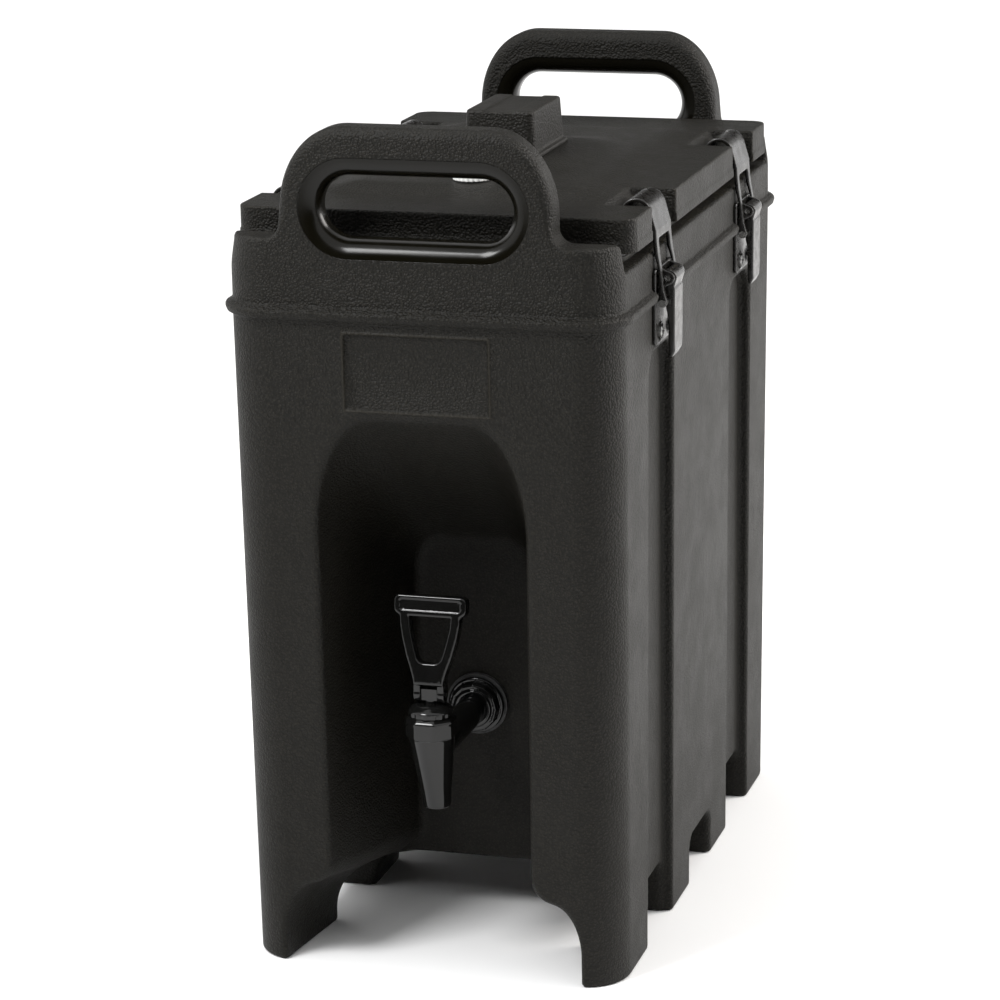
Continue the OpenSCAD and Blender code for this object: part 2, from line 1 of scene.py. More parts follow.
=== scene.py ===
"""Insulated beverage carrier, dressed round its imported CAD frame.

Every detailed piece is a distance field in millimetres, meshed by surface_net() and scaled to metres.
"""
import json
import math

import bpy
import numpy as np
from mathutils import Matrix, Vector

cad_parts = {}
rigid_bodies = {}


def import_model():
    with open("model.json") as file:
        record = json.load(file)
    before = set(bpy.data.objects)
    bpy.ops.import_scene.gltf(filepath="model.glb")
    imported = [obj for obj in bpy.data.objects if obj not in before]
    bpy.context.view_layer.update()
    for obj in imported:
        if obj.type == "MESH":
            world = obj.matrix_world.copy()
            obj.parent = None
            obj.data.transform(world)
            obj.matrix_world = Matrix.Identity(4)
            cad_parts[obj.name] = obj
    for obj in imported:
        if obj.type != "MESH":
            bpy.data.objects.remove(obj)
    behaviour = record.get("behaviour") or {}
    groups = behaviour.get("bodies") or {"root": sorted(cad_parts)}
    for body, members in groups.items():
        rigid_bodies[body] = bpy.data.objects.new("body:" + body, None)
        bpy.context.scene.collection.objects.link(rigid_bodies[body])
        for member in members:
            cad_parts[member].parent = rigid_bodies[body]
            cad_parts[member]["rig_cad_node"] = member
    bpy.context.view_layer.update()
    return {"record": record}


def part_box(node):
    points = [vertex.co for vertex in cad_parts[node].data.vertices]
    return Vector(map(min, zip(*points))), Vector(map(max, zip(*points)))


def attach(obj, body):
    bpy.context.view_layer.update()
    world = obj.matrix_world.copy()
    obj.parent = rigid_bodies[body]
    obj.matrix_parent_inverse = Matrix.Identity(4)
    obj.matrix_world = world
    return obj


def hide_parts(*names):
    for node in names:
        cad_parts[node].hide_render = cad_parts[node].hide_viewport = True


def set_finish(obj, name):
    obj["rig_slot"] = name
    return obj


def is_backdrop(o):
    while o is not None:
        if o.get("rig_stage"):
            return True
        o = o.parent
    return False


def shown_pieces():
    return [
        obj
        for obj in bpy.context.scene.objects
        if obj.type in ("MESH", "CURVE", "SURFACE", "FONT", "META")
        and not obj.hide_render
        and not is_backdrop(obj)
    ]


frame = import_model()        # bodies, nodes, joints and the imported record

MM = 0.001


# ---------- camera, light and floor ----------
CAMERA_PLACE = (0.5677, -1.9976, 0.7786)
CAMERA_RIGHT = (0.9612, 0.2755, -0.0153)
CAMERA_UP = (-0.0569, 0.2521, 0.9660)
CAMERA_LENS = 129.8
FLOOR_Z = -0.0002           # a hair below the feet, so that the two faces don't coincide


def add_camera():
    """The camera, at the viewing angle of the photograph."""
    right, up = Vector(CAMERA_RIGHT).normalized(), Vector(CAMERA_UP).normalized()
    back = right.cross(up)
    turn = Matrix((right, up, back)).transposed().to_4x4()
    data = bpy.data.cameras.new("view")
    data.lens = CAMERA_LENS
    data.sensor_width = 36
    camera = bpy.data.objects.new("view", data)
    camera.matrix_world = Matrix.Translation(CAMERA_PLACE) @ turn
    bpy.context.collection.objects.link(camera)
    bpy.context.scene.camera = camera


def add_softbox(name, place, aim, size, watts, colour=(1, 1, 1)):
    """A rectangular studio light at place, pointed at aim."""
    data = bpy.data.lights.new(name, "AREA")
    data.shape = "RECTANGLE"
    data.size, data.size_y = size
    data.energy = watts
    data.color = colour
    lamp = bpy.data.objects.new(name, data)
    toward = Vector(aim) - Vector(place)
    lamp.rotation_euler = toward.to_track_quat("-Z", "Y").to_euler()
    lamp.location = place
    bpy.context.collection.objects.link(lamp)


def add_world(strength):
    """A plain white surround."""
    world = bpy.data.worlds.new("surround")
    world.use_nodes = True
    world.node_tree.nodes["Background"].inputs["Color"].default_value = (1, 1, 1, 1)
    world.node_tree.nodes["Background"].inputs["Strength"].default_value = strength
    bpy.context.scene.world = world


def plain_card(name, corners, grey, roughness, specular):
    """A card with four corners, in one plain grey."""
    mesh = bpy.data.meshes.new(name)
    mesh.from_pydata(corners, [], [(0, 1, 2, 3)])
    card = bpy.data.objects.new(name, mesh)
    bpy.context.collection.objects.link(card)
    paint = bpy.data.materials.new(name)
    paint.use_nodes = True
    shader = paint.node_tree.nodes["Principled BSDF"]
    shader.inputs["Base Color"].default_value = (grey, grey, grey, 1)
    shader.inputs["Roughness"].default_value = roughness
    shader.inputs["Specular IOR Level"].default_value = specular
    mesh.materials.append(paint)
    return card


def add_floor(z, half=4.0):
    """A pale floor that the carrier stands on."""
    corners = [(-half, -half, z), (half, -half, z), (half, half, z), (-half, half, z)]
    floor = plain_card("floor", corners, 0.97, 0.9, 0.1)
    floor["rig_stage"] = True


def add_flag(y, low, high):
    """An upright black card, out of the camera's sight, that keeps white light off the plastic."""
    corners = [(low[0], y, low[1]), (high[0], y, low[1]), (high[0], y, high[1]), (low[0], y, high[1])]
    flag = plain_card("flag", corners, 0.01, 1.0, 0.0)
    flag.visible_camera = False
    flag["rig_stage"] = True


add_camera()
bpy.context.scene.view_settings.view_transform = "Standard"
add_world(1.35)
add_softbox("key", (2.0, 1.3, 1.4), (0, 0, 0.25), (1.0, 1.4), 60, (1, 0.96, 0.92))
add_softbox("front", (-0.45, -0.8, 1.15), (0, -0.1, 0.4), (0.4, 0.4), 13)
add_flag(-2.7, (-2.6, 0.02), (7.0, 2.2))
add_flag(3.4, (-4.0, 0.9), (4.0, 3.6))
add_floor(FLOOR_Z)


# ---------- distance fields, in millimetres ----------
SHARP = 1e-3


def round_rect(u, v, half_u, half_v, radius=0.0):
    """Distance to a rectangle with round corners, centred on the origin of its plane."""
    a = np.abs(u) - (half_u - radius)
    b = np.abs(v) - (half_v - radius)
    return np.hypot(np.maximum(a, 0), np.maximum(b, 0)) + np.minimum(np.maximum(a, b), 0) - radius


def span(u, low, high):
    """Distance to the slab between low and high."""
    return np.abs(u - (low + high) / 2) - (high - low) / 2


def both(a, b, radius=0.0):
    """What is in a and in b, with their shared edge rounded."""
    radius = np.maximum(radius, SHARP)
    corner = np.hypot(np.maximum(radius + a, 0), np.maximum(radius + b, 0))
    return np.minimum(-radius, np.maximum(a, b)) + corner


def join(a, b, radius=0.0):
    """What is in a or in b, with a fillet where they meet."""
    radius = np.maximum(radius, SHARP)
    corner = np.hypot(np.maximum(radius - a, 0), np.maximum(radius - b, 0))
    return np.maximum(radius, np.minimum(a, b)) - corner


def cut(a, b, radius=0.0):
    """What is in a and not in b, with the edge of the cut rounded."""
    return both(a, -b, radius)


def ramp(v, low, high):
    """0 below low, 1 above high, and a smooth rise between them."""
    t = np.clip((v - low) / (high - low), 0, 1)
    return t * t * (3 - 2 * t)


def polygon(u, v, points):
    """Distance to a polygon, given as its corners in order."""
    near = np.full(u.shape, 1e9, np.float32)
    sign = np.ones(u.shape, np.float32)
    for (au, av), (bu, bv) in zip(points, points[-1:] + points[:-1]):
        eu, ev = bu - au, bv - av
        wu, wv = u - au, v - av
        t = np.clip((wu * eu + wv * ev) / (eu * eu + ev * ev), 0, 1)
        near = np.minimum(near, (wu - eu * t) ** 2 + (wv - ev * t) ** 2)
        above, below = v >= av, v < bv
        left = eu * wv > ev * wu
        flip = (above & below & left) | (~above & ~below & ~left)
        sign = np.where(flip, -sign, sign)
    return sign * np.sqrt(near)


def arc(cu, cv, radius, start, end, count):
    """Points on an arc, its angles in degrees."""
    angles = [math.radians(start + (end - start) * i / count) for i in range(count + 1)]
    return [(cu + radius * math.cos(a), cv + radius * math.sin(a)) for a in angles]


# ---------- meshing a field ----------
BLOCK = 4


def sample(field, points):
    """The field at rows of points, a million at a time."""
    parts = [points[i:i + 1_000_000] for i in range(0, len(points), 1_000_000)]
    return np.concatenate([field(p[:, 0], p[:, 1], p[:, 2]).astype(np.float32) for p in parts])


def grid_values(field, low, step, count):
    """The field on a grid. Only blocks that the surface may pass are sampled; the rest keep their sign."""
    blocks = [-(-n // BLOCK) for n in count]
    index = np.stack(np.meshgrid(*[np.arange(b) for b in blocks], indexing="ij"), -1).reshape(-1, 3)
    middle = low + (index * BLOCK + (BLOCK - 1) / 2) * step
    there = sample(field, middle.astype(np.float32))
    values = np.repeat(np.sign(there), BLOCK ** 3).reshape(-1, BLOCK, BLOCK, BLOCK) * step
    active = np.abs(there) < BLOCK * step * 1.25
    offsets = np.stack(np.meshgrid(*[np.arange(BLOCK)] * 3, indexing="ij"), -1).reshape(-1, 3)
    points = low + (index[active][:, None] * BLOCK + offsets[None]).reshape(-1, 3) * step
    values[active] = sample(field, points.astype(np.float32)).reshape(-1, BLOCK, BLOCK, BLOCK)
    grid = values.reshape(*blocks, BLOCK, BLOCK, BLOCK).transpose(0, 3, 1, 4, 2, 5)
    return grid.reshape([b * BLOCK for b in blocks])


def settle(field, points, step):
    """Moves points onto the surface along the field's slope."""
    start, reach = points.copy(), step * 0.1
    slope = np.zeros_like(points)
    for axis in range(3):
        move = np.zeros(3, np.float32)
        move[axis] = reach
        slope[:, axis] = (sample(field, points + move) - sample(field, points - move)) / (2 * reach)
    slope /= np.maximum((slope ** 2).sum(1, keepdims=True), 0.05)
    for _ in range(3):
        points = points - sample(field, points)[:, None] * slope
        points = start + np.clip(points - start, -step, step)
    return points


def surface_net(field, low, high, step, mirror_x=False):
    """The surface of a field as points and quads. mirror_x samples x from 0 up and mirrors it."""
    low, high = np.array(low, float) - 2.5 * step, np.array(high, float) + 2.5 * step
    if mirror_x:
        low[0] = 0
    count = np.ceil((high - low) / step).astype(int) + 1
    grid = grid_values(field, low, step, count)
    if mirror_x:
        low = low - [(grid.shape[0] - 1) * step, 0, 0]
        grid = np.concatenate([grid[:0:-1], grid])
    inside = grid < 0
    corners = [(a, b, c) for a in (0, 1) for b in (0, 1) for c in (0, 1)]
    size = [n - 1 for n in grid.shape]
    full = sum(inside[a:a + size[0], b:b + size[1], c:c + size[2]].astype(np.uint8) for a, b, c in corners)
    active = (full > 0) & (full < 8)
    cells = np.argwhere(active)
    number = np.full(active.shape, -1, np.int32)
    number[active] = np.arange(len(cells), dtype=np.int32)
    total, found = np.zeros((len(cells), 3)), np.zeros((len(cells), 1))
    for a in corners:
        for axis in range(3):
            if a[axis]:
                continue
            b = tuple(v + (i == axis) for i, v in enumerate(a))
            fa, fb = (grid[tuple((cells + c).T)] for c in (a, b))
            crosses = (fa < 0) != (fb < 0)
            share = np.where(crosses, fa / np.where(crosses, fa - fb, 1), 0)
            point = np.array(a, float) + share[:, None] * np.eye(3)[axis]
            total += point * crosses[:, None]
            found += crosses[:, None]
    points = settle(field, (low + (cells + total / found) * step).astype(np.float32), step)
    quads = []
    for axis in range(3):
        ahead = np.take(inside, range(1, grid.shape[axis]), axis)
        here = np.take(inside, range(grid.shape[axis] - 1), axis)
        edges = np.argwhere(ahead != here)
        u, v = np.eye(3, dtype=int)[(axis + 1) % 3], np.eye(3, dtype=int)[(axis + 2) % 3]
        around = [edges - s * u - t * v for s, t in ((1, 1), (0, 1), (0, 0), (1, 0))]
        quad = np.stack([number[tuple(cell.T)] for cell in around], 1)
        outward = inside[tuple(edges.T)]
        quads.append(np.where(outward[:, None], quad, quad[:, ::-1]))
    return points, np.concatenate(quads)


def mesh_of(name, points, quads):
    """A smooth-shaded mesh in metres from points in millimetres."""
    mesh = bpy.data.meshes.new(name)
    mesh.vertices.add(len(points))
    mesh.vertices.foreach_set("co", (points * MM).astype(np.float32).ravel())
    mesh.loops.add(quads.size)
    mesh.loops.foreach_set("vertex_index", quads.astype(np.int32).ravel())
    mesh.polygons.add(len(quads))
    mesh.polygons.foreach_set("loop_start", np.arange(0, quads.size, 4, dtype=np.int32))
    mesh.update(calc_edges=True)
    mesh.validate()
    mesh.shade_smooth()
    return mesh


def add_object(name, mesh):
    """A new object that shows mesh."""
    piece = bpy.data.objects.new(name, mesh)
    bpy.context.collection.objects.link(piece)
    return piece


def apply_modifiers(piece):
    """Replaces the piece's mesh with its mesh after its modifiers."""
    graph = bpy.context.evaluated_depsgraph_get()
    mesh = bpy.data.meshes.new_from_object(piece.evaluated_get(graph))
    piece.modifiers.clear()
    piece.data = mesh


def thin_out(piece, ratio):
    """Fewer triangles where the surface is plain."""
    modifier = piece.modifiers.new("thin", "DECIMATE")
    modifier.ratio = ratio
    apply_modifiers(piece)
    piece.data.shade_smooth()


def subtract(piece, cutter):
    """Takes the cutter out of the piece and removes the cutter."""
    modifier = piece.modifiers.new("cut", "BOOLEAN")
    modifier.operation = "DIFFERENCE"
    modifier.solver = "MANIFOLD"
    modifier.object = cutter
    apply_modifiers(piece)
    bpy.data.objects.remove(cutter)
    piece.data.shade_smooth()


def box_mm(node):
    """A CAD node's lowest and highest corners in millimetres."""
    low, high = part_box(node)
    return np.array(low) / MM, np.array(high) / MM


def middle_mm(node):
    """The middle of a CAD node's box in millimetres."""
    low, high = box_mm(node)
    return (low + high) / 2


def add_field(name, field, low, high, step, ratio=1.0, mirror_x=False):
    """A new object with the surface of a field, thinned to a share of its triangles."""
    piece = add_object(name, mesh_of(name, *surface_net(field, low, high, step, mirror_x)))
    if ratio < 1:
        thin_out(piece, ratio)
    return piece


QUICK = 1.0


# ---------- body ----------
SHELL_LOW, SHELL_HIGH = box_mm("outer_shell")
RIB_OUT = 4.0
RIB_HW, RIB_HL, HANDLE_TOP = SHELL_HIGH
WALL_HW, WALL_HL = RIB_HW - RIB_OUT, RIB_HL - RIB_OUT
CORNER_R = 26.0
BASE_IN_X, BASE_IN_Y = 2.0, 7.5
RIB_LOW, RIB_TOP = 372.0, 382.0
RIM_TOP = box_mm("tank_liner")[1][2] - 2.5
END_WALL_TOP = RIM_TOP + 16
HANDLE_THICK = 24.0
HANDLE_HW = 76.0
HANDLE_CORNER = (36.0, 46.0)
# Roundness of the walls' top edge, what the loops add to it, and the heights between which it is added
TOP_EDGE, LOOP_EDGE, LOOP_EDGE_RISE = 2.5, 4.0, (422.0, 436.0)
HOLE_MID, HOLE_R, HOLE_HW, LIP_R = 435.0, 17.0, 53.5, 10.5
LATCH_Y, LATCH_SEAT = 102.5, 21.3
SKIN = 3.2
TANK_MOUTH = (88.5, 158.5, 22.0)            # half width, half length and corner radius
UNDERSIDE = box_mm("fill_plug")[0][2] + 2
ALCOVE_FRONT_Y, ALCOVE_BACK_Y = -203.0, -98.0
# Half width, top, and width and height of the round corners, at the front and at the back
ALCOVE_FRONT, ALCOVE_BACK = (59.5, 320.0, 33.0, 64.0), (36.0, 227.0, 18.0, 22.0)
LEGS_FRONT, LEGS_BACK = (87.0, 48.0, 16.0, 30.0), (73.0, UNDERSIDE + 4.4, 42.0, UNDERSIDE + 3)
LEG_FILLET, ALCOVE_BACK_R = 14.0, 5.0
UNDER_BODY = (73.0, UNDERSIDE, (40.0, UNDERSIDE - 1))
CHANNEL_MID, CHANNEL_HALF, CHANNEL_X, CHANNEL_TOP = 101.5, 28.5, 103.0, 345.0
LABEL = dict(half=40.0, low=325.5, high=366.5, depth=1.6)


def arch(u, v, half, top, corner):
    """An arch that has elliptical corners and reaches down without end."""
    across, rise = corner
    a, b = np.abs(u) - (half - across), v - (top - rise)
    flat = np.maximum(a - across, b - rise)
    near = np.hypot(a / across, b / rise)
    slope = np.maximum(np.hypot(a / across ** 2, b / rise ** 2), 1e-6)
    round_part = near * (near - 1) / slope
    return np.where((a > 0) & (b > 0), round_part, flat)


def cut_away(x, y, z):
    """The tap alcove, the space between the front legs and the space under the body."""
    t = np.clip((y - ALCOVE_FRONT_Y) / (ALCOVE_BACK_Y - ALCOVE_FRONT_Y), -0.1, 1)

    def tapered(front, back):
        half, top, across, rise = [f + (b - f) * t for f, b in zip(front, back)]
        return arch(x, z, half, top, (across, rise))
    top = ALCOVE_FRONT[1] + (ALCOVE_BACK[1] - ALCOVE_FRONT[1]) * t
    steep = 1.02 + 0.27 * np.clip((z - top + 60) / 60, 0, 1)
    niche = tapered(ALCOVE_FRONT, ALCOVE_BACK) / steep
    section = join(niche, tapered(LEGS_FRONT, LEGS_BACK), LEG_FILLET)
    front = both(section, y - ALCOVE_BACK_Y, ALCOVE_BACK_R)
    return join(front, arch(x, z, *UNDER_BODY), 4 * (1 - ramp(x, 40, 56)))


def foot_gaps(y, z):
    """The three gaps between the feet of one side, right through the body."""
    outer = round_rect(np.abs(y) - LATCH_Y, z, 27.5, 31, 8)
    return np.minimum(outer, round_rect(y, z, 26, 28, 8))


def side_channel(x, y, z):
    """The shallow upright channels below the latches."""
    outline = round_rect(np.abs(y) - CHANNEL_MID, z, CHANNEL_HALF, CHANNEL_TOP, 14)
    return both(outline, CHANNEL_X - x, 3.5)


def top_profile(x, y, z):
    """The rim along the tank and, at each end, a wall with its handle loop."""
    outline = join(z - END_WALL_TOP, arch(x, z, HANDLE_HW, HANDLE_TOP, HANDLE_CORNER), 8)
    end = both(outline, WALL_HL - HANDLE_THICK - np.abs(y), 3 + 4 * ramp(z, 410, 425))
    return join(z - RIM_TOP, end, 2.5)


def main_form(x, y, z):
    """The body without its rib, feet, hand holes and label, for x from 0 up."""
    down = np.clip(1 - z / RIB_LOW, 0, 1)
    lean = 2.5 * ramp(z, RIM_TOP - 4, END_WALL_TOP + 2)
    side = round_rect(x, y, WALL_HW - BASE_IN_X * down - lean, WALL_HL - BASE_IN_Y * down, CORNER_R)
    form = both(side, top_profile(x, y, z), TOP_EDGE + LOOP_EDGE * ramp(z, *LOOP_EDGE_RISE))
    form = cut(form, cut_away(x, y, z), 3)
    return cut(form, side_channel(x, y, z), 3)


def hand_hole(x, z):
    """Distance to a hand hole in its upright plane."""
    return np.hypot(np.maximum(np.abs(x) - (HOLE_HW - HOLE_R), 0), z - HOLE_MID) - HOLE_R


def rib_field(x, y, z):
    """The seam rib: a pointed bead with a groove along its face, left out behind the latches."""
    out = round_rect(x, y, WALL_HW, WALL_HL, CORNER_R)
    middle = (RIB_LOW + RIB_TOP) / 2
    half = 4.2 - 0.6 * out
    bead = both(both((np.abs(z - middle) - half) * 0.88, out - RIB_OUT, 0.8), -out - 6)
    groove = np.hypot(out - RIB_OUT - 0.5, z - middle + 1.4) - 1.1
    bead = cut(bead, groove, 0.3)
    seat = both(span(np.abs(y), LATCH_Y - LATCH_SEAT, LATCH_Y + LATCH_SEAT), WALL_HW - x)
    return cut(bead, seat, 1.5)


def shell_field(x, y, z):
    """The whole outside of the body."""
    x = np.abs(x)
    form = main_form(x, y, z)
    hole = hand_hole(x, z)
    swell = 0.4 * np.exp(-((hole - LIP_R - 1) / 1.1) ** 2)
    form = form - swell * ramp(z, RIB_TOP + 2, RIB_TOP + 16)
    form = cut(form, both(hole, WALL_HL - HANDLE_THICK - 14 - np.abs(y)), LIP_R)
    form = join(form, rib_field(x, y, z), 0.5)
    label_mid = (LABEL["low"] + LABEL["high"]) / 2
    label = round_rect(x, z - label_mid, LABEL["half"], (LABEL["high"] - LABEL["low"]) / 2, 2)
    form = form - 0.35 * np.exp(-((label - 1.6) / 1.2) ** 2) * (y < 0)
    form = cut(form, both(label, y + WALL_HL - LABEL["depth"], 0.5), 0.5)
    form = cut(form, foot_gaps(y, z), 4)
    return both(form, -z, 2)


def hollow_field(x, y, z):
    """The space in the double wall and the tank mouth."""
    x = np.abs(x)
    down = np.clip(1 - z / RIB_LOW, 0, 1)
    space = round_rect(x, y, WALL_HW - BASE_IN_X * down, WALL_HL - BASE_IN_Y * down, CORNER_R)
    space = both(space, z - RIM_TOP)
    space = cut(cut(space, cut_away(x, y, z)), side_channel(x, y, z)) + SKIN
    space = both(space, UNDERSIDE + SKIN - z)
    space = both(space, np.where(y < ALCOVE_BACK_Y, LEGS_FRONT[1] + SKIN - z, -1e3))
    mouth = both(round_rect(x, y, *TANK_MOUTH), span(z, RIM_TOP - 20, RIM_TOP + 20))
    return np.minimum(space, mouth)


def make_shell():
    """The rotationally moulded body."""
    shell = add_field("body_shell", shell_field, SHELL_LOW, SHELL_HIGH, 1.25 * QUICK, 0.14, mirror_x=True)
    hollow_high = [*SHELL_HIGH[:2], RIM_TOP + 20]
    hollow = add_field("hollow", hollow_field, SHELL_LOW, hollow_high, 4.0, 0.5, mirror_x=True)
    subtract(shell, hollow)
    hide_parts("outer_shell")
    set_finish(shell, "shell")
    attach(shell, "base")


# ---------- lid ----------
LID_LOW, LID_HIGH = box_mm("lid_shell")
LID_BAND = 0.5
LID_HW, LID_HL = LID_HIGH[0] - LID_BAND, LID_HIGH[1] - LID_BAND
LID_RIM = LID_LOW[2] + 18.8
VENT_Y = middle_mm("vent_cap")[1]
LID_FIELD = 4.3
# Half width, half length and corner radius of the room under the lid and under its raised field
LID_ROOM, LID_ROOF, FIELD_ROOM = (105.5, 166.5, 12.0), 421.5, (62.0, 104.0, 12.0)
POCKET = dict(x=84.0, low=73.2, high=128.4, floor=421.0, notch=108.6)


def lid_top(x, y):
    """Height of the lid's top: a flat rim, a raised field and a low crown under the block."""
    field = ramp(-round_rect(x, y, 88, 128, 24), 0, 27) * LID_FIELD
    crown = ramp(-round_rect(x, y + 1.5, 56, 72, 30), 0, 34) * 3.5
    return LID_RIM + field + crown


def hook_pocket(x, y, z):
    """A pocket for a hook: a ramp down to a floor whose outer edge is chamfered, open through the skirt."""
    along = span(np.abs(y), POCKET["low"], POCKET["high"])
    ramp_side = (POCKET["x"] + LID_RIM - x - z) * math.sqrt(0.5)
    chamfer = (x - POCKET["notch"] + 3.6) * 0.875 + (z - POCKET["floor"]) * 0.485
    shelf = both(both(z - POCKET["floor"], chamfer, 1), x - POCKET["notch"], 1)
    return both(both(along, ramp_side, 2), -shelf, 1.5)


def lid_field(x, y, z):
    """The lid moulding."""
    x = np.abs(x)
    side = round_rect(x, y, LID_HW, LID_HL, 9)
    form = both(side, (z - lid_top(x, y)) * 0.95, 0.9)
    band_side = round_rect(x, y, LID_HW + LID_BAND, LID_HL + LID_BAND, 9.5)
    form = join(form, both(band_side, z - LID_LOW[2] - 5.6, 0.4), 0.1)
    form = both(form, LID_LOW[2] - z, 0.8)
    form = cut(form, hook_pocket(x, y, z), 0.9)
    solid = both(span(np.abs(y), POCKET["low"] - 3, POCKET["high"] + 3), POCKET["x"] - 3 - x)
    inner = both(round_rect(x, y, *LID_ROOM), z - LID_ROOF, 2)
    form = cut(form, cut(inner, both(solid, POCKET["floor"] - 4 - z)))
    form = cut(form, both(round_rect(x, y, *FIELD_ROOM), z - LID_RIM - LID_FIELD + 3.5, 2))
    return cut(form, np.hypot(x, y - VENT_Y) - 7)


def make_lid():
    """The lid moulding as a piece."""
    lid = add_field("lid_moulding", lid_field, LID_LOW, LID_HIGH, 1.0 * QUICK, 0.3, mirror_x=True)
    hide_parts("lid_shell")
    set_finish(lid, "shell")
    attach(lid, "lid")


BLOCK_LOW, BLOCK_HIGH = box_mm("lid_block")


def block_field(x, y, z):
    """The grip and stacking block: a tapered post with two rails on top and a foot flange."""
    x, y = np.abs(x), y - (BLOCK_LOW[1] + BLOCK_HIGH[1]) / 2
    half_x, half_y = BLOCK_HIGH[0], (BLOCK_HIGH[1] - BLOCK_LOW[1]) / 2
    up = np.clip((z - BLOCK_LOW[2]) / (BLOCK_HIGH[2] - BLOCK_LOW[2]), 0, 1)
    post = round_rect(x, y, half_x - 2 - 1.5 * up, half_y - 2 - 1.5 * up, 4)
    form = both(post, z - BLOCK_HIGH[2], 1.5)
    flange = both(round_rect(x, y, half_x, half_y, 4), z - BLOCK_LOW[2] - 2.5, 0.9)
    form = join(form, flange, 2)
    groove = both(x - 9.5, BLOCK_HIGH[2] - 0.8 - z, 0.3)
    form = cut(form, groove, 0.4)
    return both(form, BLOCK_LOW[2] - z)


def make_block():
    """The block as a piece."""
    block = add_field("grip_block", block_field, BLOCK_LOW, BLOCK_HIGH, 0.9 * QUICK, 0.5, mirror_x=True)
    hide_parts("lid_block")
    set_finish(block, "block")
    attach(block, "lid")


CAP_LOW, CAP_HIGH = box_mm("vent_cap")


def vent_field(x, y, z):
    """The vent cap: a knurled disc with a dished top on a hollow stem."""
    y = y - VENT_Y
    out, turn = np.hypot(x, y), np.arctan2(y, x)
    knurl = 0.25 * np.cos(turn * 24)
    edge = CAP_HIGH[0] - 0.25 + knurl
    disc = both(both(out - edge, CAP_HIGH[2] - 3.6 - z, 0.4), z - CAP_HIGH[2], 1.3)
    dish = both(out - 7.2, CAP_HIGH[2] - 0.8 + 0.006 * out ** 2 - z, 0.5)
    disc = cut(disc, dish, 0.5)
    stem = both(out - 5, span(z, CAP_LOW[2], CAP_HIGH[2] - 2), 0.4)
    form = join(disc, stem, 0.3)
    return cut(form, both(out - 3, z - CAP_LOW[2] - 11, 0.3))


def make_vent():
    """The vent cap as a piece."""
    cap = add_field("vent_button", vent_field, CAP_LOW, CAP_HIGH, 0.4 * QUICK, 0.5)
    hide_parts("vent_cap")
    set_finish(cap, "vent_white")
    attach(cap, "vent")


# ---------- latches, each made at the front right and then copied ----------
PLATE_LOW, PLATE_HIGH = box_mm("latch_base_fr")
PLATE_X, PLATE_OUT = PLATE_LOW[0], PLATE_LOW[0] + 1.9
PIVOT_X, PIVOT_Z = middle_mm("base_pin_fr")[::2]
HOOK_PIN_X, HOOK_PIN_Z = middle_mm("hook_pin_fr")[::2]
PIN_R = 1.5
LEVER_HW, LEVER_END = 9.8, box_mm("lever_fr")[0][2]
HOOK_HW, HOOK_T = 17.5, 2.2
HOOK_TOP = box_mm("hook_fr")[1][2]
ARCH_R = 8.5
WINDOW_LOW, WINDOW_TOP = 360.0, 408.0
ARCH_X, ARCH_Z = box_mm("hook_fr")[0][0] + ARCH_R, HOOK_TOP - ARCH_R
SCREW_Y, SCREW_Z = 9.0, 356.0
LATCHES = {"fr": (1, -1), "fl": (-1, -1), "rr": (1, 1), "rl": (-1, 1)}


def pin_hole(x, z, at_x, at_z, radius):
    """Distance to a bore along Y."""
    return np.hypot(x - at_x, z - at_z) - radius


def plate_field(x, y, z):
    """A latch base: a screwed plate with two ears for the lever's pin and a raised rib round the screws."""
    y = np.abs(y)
    mid_z, half_z = (PIVOT_Z + 6 + PLATE_LOW[2]) / 2, (PIVOT_Z + 6 - PLATE_LOW[2]) / 2
    outline = round_rect(y, z - mid_z, PLATE_HIGH[1] + LATCH_Y, half_z, 3)
    form = both(both(outline, x - PLATE_OUT, 0.5), PLATE_X - x)
    ear_2d = join(pin_hole(x, z, PIVOT_X, PIVOT_Z, 3.6), polygon(x, z, [
        (PLATE_OUT - 0.5, PIVOT_Z - 7.5), (PIVOT_X + 0.6, PIVOT_Z - 3.55),
        (PIVOT_X + 0.6, PIVOT_Z + 3.55), (PLATE_OUT - 0.5, PIVOT_Z + 6)]), 0.5)
    ear = both(ear_2d, span(y, 10.4, 12.5), 0.35)
    form = join(form, ear, 0.7)
    boss = both(np.hypot(y - SCREW_Y, z - SCREW_Z) - 5.2, x - PLATE_OUT - 0.45, 0.4)
    dish = both(np.hypot(y - SCREW_Y, z - SCREW_Z) - 4.0, PLATE_OUT - 0.05 - x, 0.2)
    form = cut(join(form, boss, 0.4), dish, 0.2)
    form = cut(form, np.hypot(y - SCREW_Y, z - SCREW_Z) - 2)
    return cut(both(form, PLATE_X - x), pin_hole(x, z, PIVOT_X, PIVOT_Z, PIN_R))


